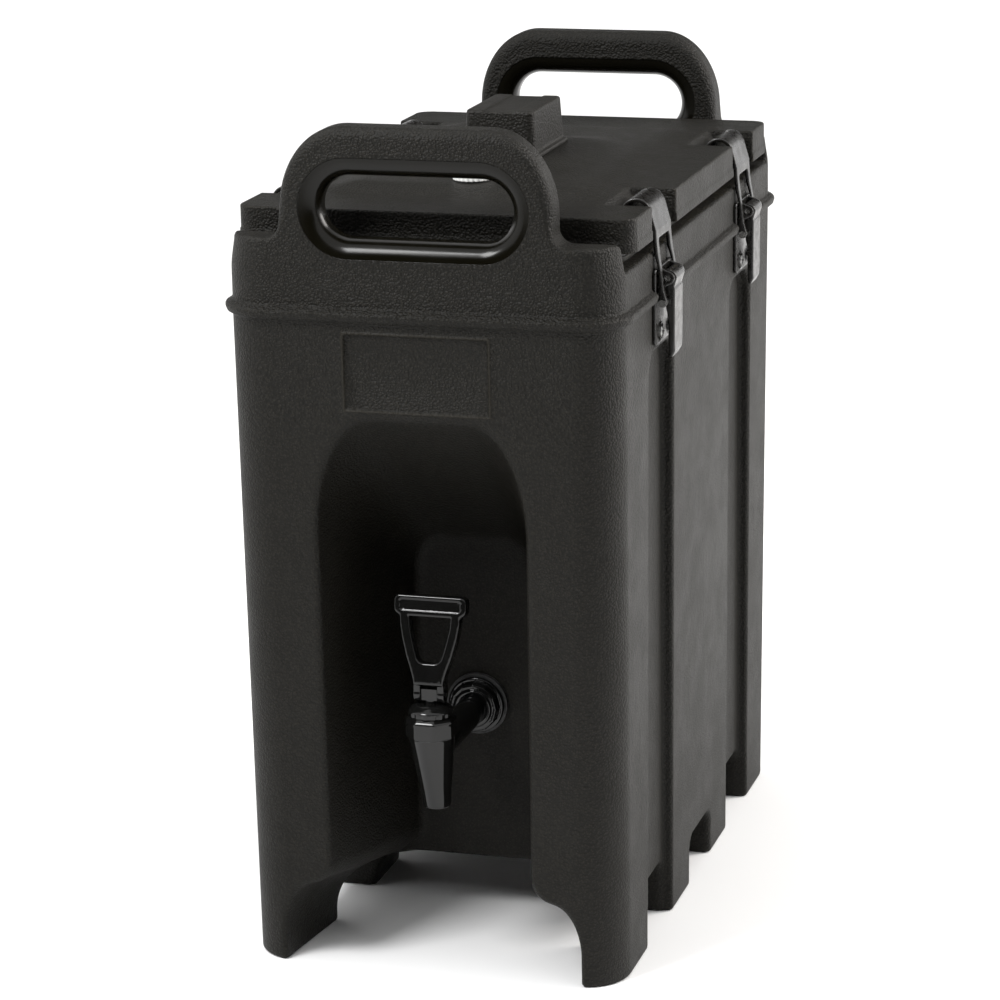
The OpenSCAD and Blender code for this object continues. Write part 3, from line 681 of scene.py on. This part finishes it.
def lever_field(x, y, z):
    """A latch lever: a round barrel on its pin, a long thumb plate and two cheeks for the hook's pin."""
    y = np.abs(y)
    blade = polygon(x, z, [
        (PIVOT_X - 0.6, PIVOT_Z), (PIVOT_X - 0.6, LEVER_END + 0.5), (PIVOT_X + 1.2, LEVER_END),
        (PIVOT_X + 3.0, LEVER_END + 3.5), (PIVOT_X + 3.3, PIVOT_Z - 4), (PIVOT_X + 4.0, PIVOT_Z)])
    barrel = pin_hole(x, z, PIVOT_X, PIVOT_Z, 4.2)
    half = LEVER_HW - 1.8 * ramp(-z, -LEVER_END - 9, -LEVER_END)
    outer = both(join(barrel, blade, 0.6), y - half, 0.7)
    cheek_2d = join(pin_hole(x, z, HOOK_PIN_X, HOOK_PIN_Z, 2.6), polygon(x, z, [
        (HOOK_PIN_X, HOOK_PIN_Z - 2.6), (PIVOT_X - 0.2, HOOK_PIN_Z - 12),
        (PIVOT_X - 0.2, PIVOT_Z), (HOOK_PIN_X - 2.3, HOOK_PIN_Z + 1.2)]), 0.4)
    cheek = both(cheek_2d, span(y, LEVER_HW - 2.8, LEVER_HW), 0.4)
    form = join(outer, cheek, 0.5)
    form = cut(form, pin_hole(x, z, PIVOT_X + 4.4, PIVOT_Z - 5.2, 1.5), 0.3)
    scoop = both(span(y, -1, LEVER_HW - 2.2), span(z, LEVER_END + 5, PIVOT_Z - 9), 2)
    scoop = both(scoop, x - PIVOT_X - 0.9, 0.4)
    form = cut(form, scoop, 0.4)
    form = cut(form, pin_hole(x, z, PIVOT_X, PIVOT_Z, PIN_R + 0.05))
    return cut(form, pin_hole(x, z, HOOK_PIN_X, HOOK_PIN_Z, PIN_R + 0.05))


def hook_field(x, y, z):
    """A hook: an arch over the lid's edge on a wide strap, with a window between two curved arms."""
    y = np.abs(y)
    tip_z = POCKET["floor"] + 0.7
    outline = [(HOOK_PIN_X + 2.6, HOOK_PIN_Z), (LID_HW + 3.9, 380), (LID_HW + 3.3, 386)]
    outline += [(LID_HW + 2.3, 392), (LID_HW + 0.9, 400), (LID_HW + 0.2, 407), (LID_HW - 0.1, 413)]
    outline += arc(ARCH_X, ARCH_Z, ARCH_R, 15, 180, 18)
    outline += [(ARCH_X - ARCH_R, tip_z), (ARCH_X - ARCH_R + HOOK_T, tip_z)]
    outline += arc(ARCH_X, ARCH_Z, ARCH_R - HOOK_T, 180, 15, 18)
    outline += [(LID_HW - 2.3, 412.5), (LID_HW - 2.0, 407), (LID_HW - 1.3, 400), (LID_HW + 0.9, 392)]
    outline += [(LID_HW + 1, 384), (HOOK_PIN_X - 2.4, HOOK_PIN_Z + 4), (HOOK_PIN_X - 2.5, HOOK_PIN_Z)]
    side = np.minimum(polygon(x, z, outline), pin_hole(x, z, HOOK_PIN_X, HOOK_PIN_Z, 2.5))
    form = both(side, y - HOOK_HW, 0.6)
    mid = (WINDOW_LOW + WINDOW_TOP) / 2
    window = round_rect(y, z - mid, 12 + 0.9 * ramp(-z, -400, -394), WINDOW_TOP - mid, 2)
    form = cut(form, window, 0.5)
    return cut(form, pin_hole(x, z, HOOK_PIN_X, HOOK_PIN_Z, PIN_R))


def screw_field(x, y, z):
    """A pan-head screw with a cross recess, along X at the origin of its plane."""
    out = np.hypot(y, z)
    head = both(out - 3.6, span(x, PLATE_OUT, PLATE_OUT + 1.3), 0.6)
    slot = np.minimum(both(np.abs(y) - 2.3, np.abs(z) - 0.45), both(np.abs(z) - 2.3, np.abs(y) - 0.45))
    head = cut(head, both(slot, PLATE_OUT + 0.45 - x, 0.1), 0.12)
    shank = both(out - 2 + 0.12 * np.cos(x * 5), span(x, PLATE_X - 11.5, PLATE_OUT + 0.3), 0.3)
    return join(head, shank, 0.2)


def copied(mesh, name, side_x, move_y, move_z=0.0):
    """A copy of a mesh, mirrored to its side and moved."""
    copy = mesh.copy()
    copy.name = name
    turn = Matrix.Diagonal((side_x, 1, 1, 1))
    copy.transform(Matrix.Translation((0, move_y * MM, move_z * MM)) @ turn)
    if side_x < 0:
        copy.flip_normals()
    return copy


def make_latches():
    """The four latches, each as a base, a lever and a hook."""
    kinds = (
        ("latch_base", plate_field, 0.5, "base"),
        ("lever", lever_field, 0.5, "lever_{}"),
        ("hook", hook_field, 0.55, "hook_{}"),
    )
    for node, field, step, body in kinds:
        low, high = box_mm(node + "_fr")
        shift = np.array([0, LATCH_Y, 0])
        source = add_field(node + "_source", field, low + shift, high + shift, step * QUICK, 0.6)
        for tag, (side_x, side_y) in LATCHES.items():
            name = f"{node}_moulding_{tag}"
            piece = add_object(name, copied(source.data, name, side_x, side_y * LATCH_Y))
            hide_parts(f"{node}_{tag}")
            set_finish(piece, "latch_plastic")
            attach(piece, body.format(tag))
        bpy.data.objects.remove(source)


def make_screws():
    """The eight latch screws."""
    low, high = [PLATE_X - 12, -3.7, -3.7], [PLATE_OUT + 1.4, 3.7, 3.7]
    source = add_field("screw_source", screw_field, low, high, 0.25 * QUICK, 0.5)
    for tag, (side_x, side_y) in LATCHES.items():
        for end, offset in (("a", -SCREW_Y), ("b", SCREW_Y)):
            name = f"latch_screw_{tag}_{end}"
            piece = add_object(name, copied(source.data, name, side_x, side_y * LATCH_Y + offset, SCREW_Z))
            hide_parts("latch_screws")
            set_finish(piece, "screw_steel")
            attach(piece, "base")
    bpy.data.objects.remove(source)


# ---------- tap ----------
TAP_LOW, TAP_HIGH = box_mm("tap_body")
TAP_Y = middle_mm("tap_bonnet")[1]
SHANK_Z, SHANK_R = middle_mm("outer_washer")[2], 8.5
COLLAR_LOW, COLLAR_TOP = TAP_HIGH[2] - 12, TAP_HIGH[2]
SEAT_Z, SPOUT_SKEW = 121.0, 8.0
TAP_PIN_Z = middle_mm("tap_pin")[2]
HANDLE_LEAN, LOOP_FORWARD = math.radians(9), 2.5
THUMB_BAR_Z = 49.5          # height of the thumb bar above the lever's pin


def octagon(u, v, across):
    """Distance to an octagon with flats on both axes."""
    diagonal = (np.abs(u) + np.abs(v)) * math.sqrt(0.5)
    return np.maximum(np.maximum(np.abs(u), np.abs(v)), diagonal) - across


def tap_field(x, y, z):
    """The tap body: octagonal collar, skew spout, rear fin and shank."""
    down = np.clip((COLLAR_LOW - z) / (COLLAR_LOW - TAP_LOW[2]), 0, 1)
    spout = np.hypot(x, y - TAP_Y - SPOUT_SKEW * down) - (13 - 5.4 * down)
    form = both(both(spout, z - COLLAR_LOW - 1), TAP_LOW[2] - z, 0.7)
    ring = octagon(x, y - TAP_Y, 13.45)
    collar = both(both(ring, z - COLLAR_TOP), (ring + z - COLLAR_TOP + 2.2) * math.sqrt(0.5), 0.3)
    collar = both(collar, COLLAR_LOW - z, 0.7)
    form = join(form, collar, 0.5)
    shank = both(np.hypot(x, z - SHANK_Z) - SHANK_R, span(y, TAP_Y + 6, TAP_HIGH[1]), 0.6)
    form = join(form, shank, 2.5)
    fin = both(np.abs(x) - 2.5, span(y, TAP_Y + 6, TAP_Y + 25))
    fin = both(fin, span(z, TAP_LOW[2] + 2, SHANK_Z), 0.8)
    form = join(form, fin, 1.2)
    plug_seat = both(np.hypot(x, y - TAP_Y) - 8, COLLAR_TOP - 10 - z)
    well = both(np.hypot(x, y - TAP_Y) - 6, SEAT_Z - z)
    drop = both(np.hypot(x, y - TAP_Y - 1) - 3.8, span(z, SEAT_Z - 9, SEAT_Z + 1))
    outlet = both(np.hypot(x, y - TAP_Y - SPOUT_SKEW + 1) - 4, z - SEAT_Z + 7)
    bore = both(np.hypot(x, z - SHANK_Z) - 5.5, TAP_Y + 2 - y)
    ways = np.minimum(np.minimum(well, drop), np.minimum(plug_seat, bore))
    return cut(cut(form, outlet, 0.6), ways, 0.3)


def bonnet_field(x, y, z):
    """The bonnet that closes the tap body round its stem."""
    out, base = np.hypot(x, y - TAP_Y), COLLAR_TOP
    skirt = both(out - 12.5, span(z, base, base + 3.5), 0.5)
    slope = (out - 12.5) * 0.6 + (z - base - 3.5) * 0.8
    dome = both(both(out - 12.5, slope, 0.8), span(z, base + 1, base + 6.5), 0.6)
    plug = both(out - 8, span(z, base - 10, base + 1))
    form = join(join(skirt, dome, 0.3), plug)
    grip = 0.35 * np.cos(np.arctan2(y - TAP_Y, x) * 16)
    form = cut(form, both(12.2 + grip - out, z - base - 2.6, 0.1), 0.1)
    return cut(cut(form, out - 3.05), both(out - 6, z - base + 5))


def tap_handle_field(x, y, z):
    """The push lever: two prongs on the pin, a tapering loop and a thumb bar with a blank bezel."""
    x, y, z = np.abs(x), y - TAP_Y, z - TAP_PIN_Z
    y_up = y * math.cos(HANDLE_LEAN) - z * math.sin(HANDLE_LEAN)
    z_up = y * math.sin(HANDLE_LEAN) + z * math.cos(HANDLE_LEAN)
    half = [(-9, 5), (8.5, 5), (9.0, 8), (10.4, 13), (13.2, 21), (15.8, 31), (17.2, 39), (17.6, 46)]
    half += [(-17, 46)]
    loop = join(polygon(x, z_up, half), round_rect(x, z_up - THUMB_BAR_Z, 20.8, 5.5, 3.4), 1.5)
    slot = [(-4, 17.5), (3.5, 17.5), (5.4, 18.2), (6.9, 20), (8.2, 24), (10.0, 31), (11.3, 37), (11.8, 43)]
    slot += [(-4, 43)]
    loop = cut(loop, polygon(x, z_up, slot))
    form = both(loop, np.abs(y_up + LOOP_FORWARD) - 4, 1.3)
    bezel = both(round_rect(x, z_up - THUMB_BAR_Z, 17.4, 3.2, 1.4), y_up + LOOP_FORWARD + 3.45, 0.2)
    form = cut(form, bezel, 0.3)
    prong_2d = join(np.hypot(y, z) - 4.8, both(np.abs(y) - 4.5, span(z, 0, 8)))
    prong = both(prong_2d, span(x, 4.8, 8.8), 0.7)
    form = join(form, prong, 0.4)
    return cut(form, np.hypot(y, z) - PIN_R)


NUT_LOW, NUT_HIGH = box_mm("outer_nut")


def nut_field(x, y, z):
    """The round lock nut on the shank: a flange, a hub with twelve low grip ribs and a raised ring."""
    out, turn = np.hypot(x, z - SHANK_Z), np.arctan2(z - SHANK_Z, x)
    flange = both(out - NUT_HIGH[0], span(y, NUT_HIGH[1] - 3, NUT_HIGH[1]), 0.9)
    wave = 0.5 * np.maximum(np.cos(turn * 12), 0) ** 6
    hub = both(out - 14 - wave, span(y, NUT_LOW[1] + 1.2, NUT_HIGH[1] - 1), 1.2)
    ring = both(out - 11, span(y, NUT_LOW[1], NUT_HIGH[1] - 1), 0.8)
    return cut(join(join(flange, hub, 0.6), ring, 0.5), out - SHANK_R, 0.3)


def make_tap():
    """The tap's moulded pieces."""
    for name, node, field, step, body in (
        ("tap_spout", "tap_body", tap_field, 0.6, "base"),
        ("tap_cover", "tap_bonnet", bonnet_field, 0.5, "base"),
        ("tap_lever", "tap_handle", tap_handle_field, 0.55, "tap_handle"),
        ("lock_nut", "outer_nut", nut_field, 0.55, "base"),
    ):
        low, high = box_mm(node)
        piece = add_field(name, field, low, high, step * QUICK, 0.5)
        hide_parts(node)
        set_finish(piece, "tap_plastic")
        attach(piece, body)


# ---------- materials ----------
class Paint:
    """A node-based material, built by naming what drives each socket."""

    def __init__(self, name, colour, roughness):
        self.material = bpy.data.materials.new(name)
        self.material.use_nodes = True
        self.tree = self.material.node_tree
        self.shader = self.tree.nodes["Principled BSDF"]
        self.coords = self.tree.nodes.new("ShaderNodeTexCoord").outputs["Object"]
        self.colour = self.flat((*colour, 1))
        self.roughness = roughness
        self.height = None

    def flat(self, colour):
        """One colour that later layers mix with."""
        node = self.tree.nodes.new("ShaderNodeRGB")
        node.outputs[0].default_value = colour
        return node.outputs[0]

    def math(self, kind, a, b=0.5):
        """One arithmetic step on sockets or numbers."""
        node = self.tree.nodes.new("ShaderNodeMath")
        node.operation = kind
        for socket, value in zip(node.inputs, (a, b)):
            if isinstance(value, (int, float)):
                socket.default_value = value
            else:
                self.tree.links.new(value, socket)
        return node.outputs[0]

    def ranged(self, value, low, high, to_low=0.0, to_high=1.0, smooth=True):
        """value from low..high mapped to to_low..to_high."""
        node = self.tree.nodes.new("ShaderNodeMapRange")
        node.interpolation_type = "SMOOTHSTEP" if smooth else "LINEAR"
        self.tree.links.new(value, node.inputs["Value"])
        ends = {"From Min": low, "From Max": high, "To Min": to_low, "To Max": to_high}
        for name, number in ends.items():
            node.inputs[name].default_value = number
        return node.outputs[0]

    def noise(self, size, detail=3.0, rough=0.55):
        """Noise with features of about size metres."""
        node = self.tree.nodes.new("ShaderNodeTexNoise")
        node.inputs["Scale"].default_value = 1 / size
        node.inputs["Detail"].default_value = detail
        node.inputs["Roughness"].default_value = rough
        self.tree.links.new(self.coords, node.inputs["Vector"])
        return node.outputs["Fac"]

    def pebble(self, size):
        """Rounded grains of about size metres."""
        node = self.tree.nodes.new("ShaderNodeTexVoronoi")
        node.feature = "SMOOTH_F1"
        node.inputs["Scale"].default_value = 1 / size
        node.inputs["Smoothness"].default_value = 0.6
        self.tree.links.new(self.coords, node.inputs["Vector"])
        return node.outputs["Distance"]

    def axis(self, letter):
        """One object coordinate in metres."""
        node = self.tree.nodes.new("ShaderNodeSeparateXYZ")
        self.tree.links.new(self.coords, node.inputs[0])
        return node.outputs[letter]

    def hole_lip(self):
        """1 on the lips of the hand holes and 0 elsewhere."""
        x = self.math("ABSOLUTE", self.axis("X"))
        along = self.math("MAXIMUM", self.math("SUBTRACT", x, (HOLE_HW - HOLE_R) * MM), 0.0)
        up = self.math("SUBTRACT", self.axis("Z"), HOLE_MID * MM)
        square = self.math("ADD", self.math("POWER", along, 2.0), self.math("MULTIPLY", up, up))
        out = self.math("SQRT", square)
        lip = self.ranged(out, (HOLE_R + LIP_R - 0.3) * MM, (HOLE_R + LIP_R + 0.3) * MM, 1, 0)
        wall_y = (WALL_HL - HANDLE_THICK) * MM
        at_end = self.ranged(self.math("ABSOLUTE", self.axis("Y")), wall_y - 0.003, wall_y - 0.002)
        return self.math("MULTIPLY", lip, at_end)

    def label_line(self):
        """1 along the outline of the front label and 0 elsewhere."""
        middle, half = (LABEL["low"] + LABEL["high"]) / 2, (LABEL["high"] - LABEL["low"]) / 2
        across = self.math("SUBTRACT", self.math("ABSOLUTE", self.axis("X")), LABEL["half"] * MM)
        up = self.math("SUBTRACT", self.axis("Z"), middle * MM)
        upright = self.math("SUBTRACT", self.math("ABSOLUTE", up), half * MM)
        out = self.math("ABSOLUTE", self.math("SUBTRACT", self.math("MAXIMUM", across, upright), 0.001))
        front = self.ranged(self.axis("Y"), -0.19, -0.18, 1, 0)
        return self.math("MULTIPLY", self.ranged(out, 0, 0.0014, 1, 0), front)

    def edges(self, low=0.52, high=0.6):
        """1 at raised edges and 0 elsewhere."""
        node = self.tree.nodes.new("ShaderNodeNewGeometry")
        return self.ranged(node.outputs["Pointiness"], low, high)

    def blend(self, share, colour):
        """Mixes another colour in by a share."""
        node = self.tree.nodes.new("ShaderNodeMix")
        node.data_type = "RGBA"
        self.tree.links.new(share, node.inputs["Factor"])
        self.tree.links.new(self.colour, node.inputs["A"])
        node.inputs["B"].default_value = (*colour, 1)
        self.colour = node.outputs["Result"]

    def rougher(self, share, amount):
        """Adds amount to the roughness where share is 1."""
        self.roughness = self.math("ADD", self.roughness, self.math("MULTIPLY", share, amount))

    def raise_by(self, share, amount):
        """Adds height, in metres, where share is 1."""
        step = self.math("MULTIPLY", share, amount)
        self.height = step if self.height is None else self.math("ADD", self.height, step)

    def done(self, **constants):
        """Wires the shader and returns the material. constants are set on the shader's own sockets."""
        self.tree.links.new(self.colour, self.shader.inputs["Base Color"])
        if isinstance(self.roughness, float):
            self.shader.inputs["Roughness"].default_value = self.roughness
        else:
            self.tree.links.new(self.math("MINIMUM", self.roughness, 1.0), self.shader.inputs["Roughness"])
        if self.height is not None:
            bump = self.tree.nodes.new("ShaderNodeBump")
            bump.inputs["Strength"].default_value = 1
            bump.inputs["Distance"].default_value = 1
            self.tree.links.new(self.height, bump.inputs["Height"])
            self.tree.links.new(bump.outputs["Normal"], self.shader.inputs["Normal"])
        for name, value in constants.items():
            self.shader.inputs[name.replace("_", " ")].default_value = value
        return self.material


def moulded_paint(name, colour, light, roughness, grain, grain_depth, edge_wear_and_sheen_share=0.75, body=False):
    """Rotationally moulded plastic: a pebbled skin with painted highlights on the grains' tops, and lighter
    edges that are partly wear and partly a painted highlight.

    body is true for the body, which also has smooth lips at its hand holes and an outline round its label,
    raised in the bump and painted lighter as a highlight.
    """
    paint = Paint(name, colour, roughness)
    # Painted highlight: the raised tops of the grains are painted in the lighter colour, where light would
    # catch them.
    paint.blend(paint.ranged(paint.pebble(grain), 0.5, 0.1, 0, 1), light)
    paint.blend(paint.ranged(paint.noise(0.0018, 3), 0.4, 0.8, 0, 0.4), light)
    # Lighter edges: partly wear, partly a painted highlight along the raised edges.
    wear_and_highlight = paint.math("MULTIPLY", paint.edges(), paint.ranged(paint.noise(0.004, 4), 0.35, 0.65))
    paint.blend(paint.math("MULTIPLY", wear_and_highlight, edge_wear_and_sheen_share), tuple(c * 2.8 for c in light))
    paint.rougher(paint.ranged(paint.noise(0.02, 4), 0.3, 0.7, -1, 1), 0.03)
    coarse = paint.math("SUBTRACT", 1.0, paint.pebble(grain))
    fine = paint.noise(grain * 0.5, 2)
    if body:
        lip = paint.hole_lip()
        paint.blend(lip, colour)
        paint.rougher(lip, 0.2 - roughness)
        skin = paint.math("SUBTRACT", 1.0, lip)
        coarse = paint.math("MULTIPLY", coarse, skin)
        fine = paint.math("MULTIPLY", fine, skin)
        line = paint.label_line()
        paint.raise_by(line, 0.0008)
        # Painted highlight: the label's outline is painted in a lighter colour, as if its ridge caught the
        # light.
        paint.blend(paint.math("MULTIPLY", line, 0.6), tuple(c * 1.6 for c in light))
    upper = paint.ranged(paint.axis("Z"), 0.28, 0.36, 0.55, 1.0)
    paint.raise_by(paint.math("MULTIPLY", coarse, upper), grain_depth)
    paint.raise_by(fine, grain_depth * 0.5)
    return paint.done(IOR=1.5, Specular_IOR_Level=0.2)


def smooth_paint(name, colour, light, roughness, grain_depth=0.00002, edge_wear_and_sheen_share=0.4, **constants):
    """Injection-moulded plastic: a fine skin, faint flow marks and lighter edges that are partly wear and
    partly a painted highlight.
    """
    paint = Paint(name, colour, roughness)
    paint.blend(paint.ranged(paint.noise(0.012, 4), 0.4, 0.75, 0, 0.4), light)
    # Lighter edges: partly wear, partly a painted highlight along the raised edges.
    wear_and_highlight = paint.math("MULTIPLY", paint.edges(), paint.ranged(paint.noise(0.0025, 4), 0.35, 0.65))
    paint.blend(paint.math("MULTIPLY", wear_and_highlight, edge_wear_and_sheen_share), tuple(c * 2 for c in light))
    paint.rougher(paint.ranged(paint.noise(0.006, 5), 0.3, 0.7, -1, 1), roughness * 0.25)
    paint.raise_by(paint.noise(0.0006, 3), grain_depth)
    paint.raise_by(paint.noise(0.015, 2), grain_depth * 4)
    return paint.done(**constants)


def steel_paint(name, colour, roughness):
    """Turned stainless steel: fine brushed lines and small stains."""
    paint = Paint(name, colour, roughness)
    paint.blend(paint.ranged(paint.noise(0.002, 5), 0.45, 0.7, 0, 0.35), tuple(c * 0.6 for c in colour))
    paint.rougher(paint.ranged(paint.noise(0.0008, 4), 0.3, 0.7, -1, 1), 0.08)
    paint.raise_by(paint.noise(0.0004, 4), 0.000006)
    return paint.done(Metallic=1.0)


def foam_paint(name):
    """Poured rigid foam: small cells and yellowed patches."""
    paint = Paint(name, (0.82, 0.7, 0.4), 0.9)
    paint.blend(paint.ranged(paint.noise(0.02, 4), 0.4, 0.8, 0, 0.6), (0.72, 0.53, 0.24))
    paint.raise_by(paint.pebble(0.0015), -0.0006)
    paint.raise_by(paint.noise(0.01, 3), 0.0008)
    return paint.done()


def make_paints():
    """One material for each of the record's slots."""
    return {
        "shell": moulded_paint("shell", (0.0028, 0.0024, 0.0012), (0.0125, 0.0109, 0.0076),
                               0.53, 0.0013, 0.0007, body=True),
        "block": moulded_paint("block", (0.006, 0.0054, 0.004), (0.017, 0.0155, 0.0125),
                               0.5, 0.0013, 0.0004),
        "tank": moulded_paint("tank", (0.014, 0.0138, 0.0125), (0.024, 0.0236, 0.021),
                              0.45, 0.0016, 0.0002),
        "plug": smooth_paint("plug", (0.018, 0.018, 0.018), (0.03, 0.03, 0.03), 0.42),
        "foam": foam_paint("foam"),
        "natural_plastic": smooth_paint("natural_plastic", (0.68, 0.66, 0.6), (0.74, 0.73, 0.69), 0.4),
        "vent_white": smooth_paint("vent_white", (0.8, 0.8, 0.78), (0.86, 0.86, 0.85), 0.32),
        "seal_rubber": smooth_paint("seal_rubber", (0.016, 0.016, 0.016), (0.03, 0.03, 0.03),
                                    0.62, 0.00006),
        "latch_plastic": smooth_paint("latch_plastic", (0.0055, 0.005, 0.0042), (0.013, 0.012, 0.0104),
                                      0.28, 0.00003),
        "pin_steel": steel_paint("pin_steel", (0.68, 0.68, 0.67), 0.16),
        "screw_steel": steel_paint("screw_steel", (0.42, 0.42, 0.41), 0.34),
        "tap_plastic": smooth_paint("tap_plastic", (0.004, 0.004, 0.0038), (0.007, 0.007, 0.0068),
                                    0.08, 0.000008, 0.2, Specular_IOR_Level=0.35),
    }


def dress(paints):
    """Gives every piece and every shown CAD node the material of its slot."""
    slot_of = {part["node"]: part["material_slot"] for part in frame["record"]["subparts"]}
    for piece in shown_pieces():
        name = piece.get("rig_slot") or slot_of[piece["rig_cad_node"]]
        if not piece.material_slots:
            piece.data.materials.append(None)
        for holder in piece.material_slots:
            holder.material = paints[name]


make_shell()
make_lid()
make_block()
make_vent()
make_latches()
make_screws()
make_tap()
dress(make_paints())
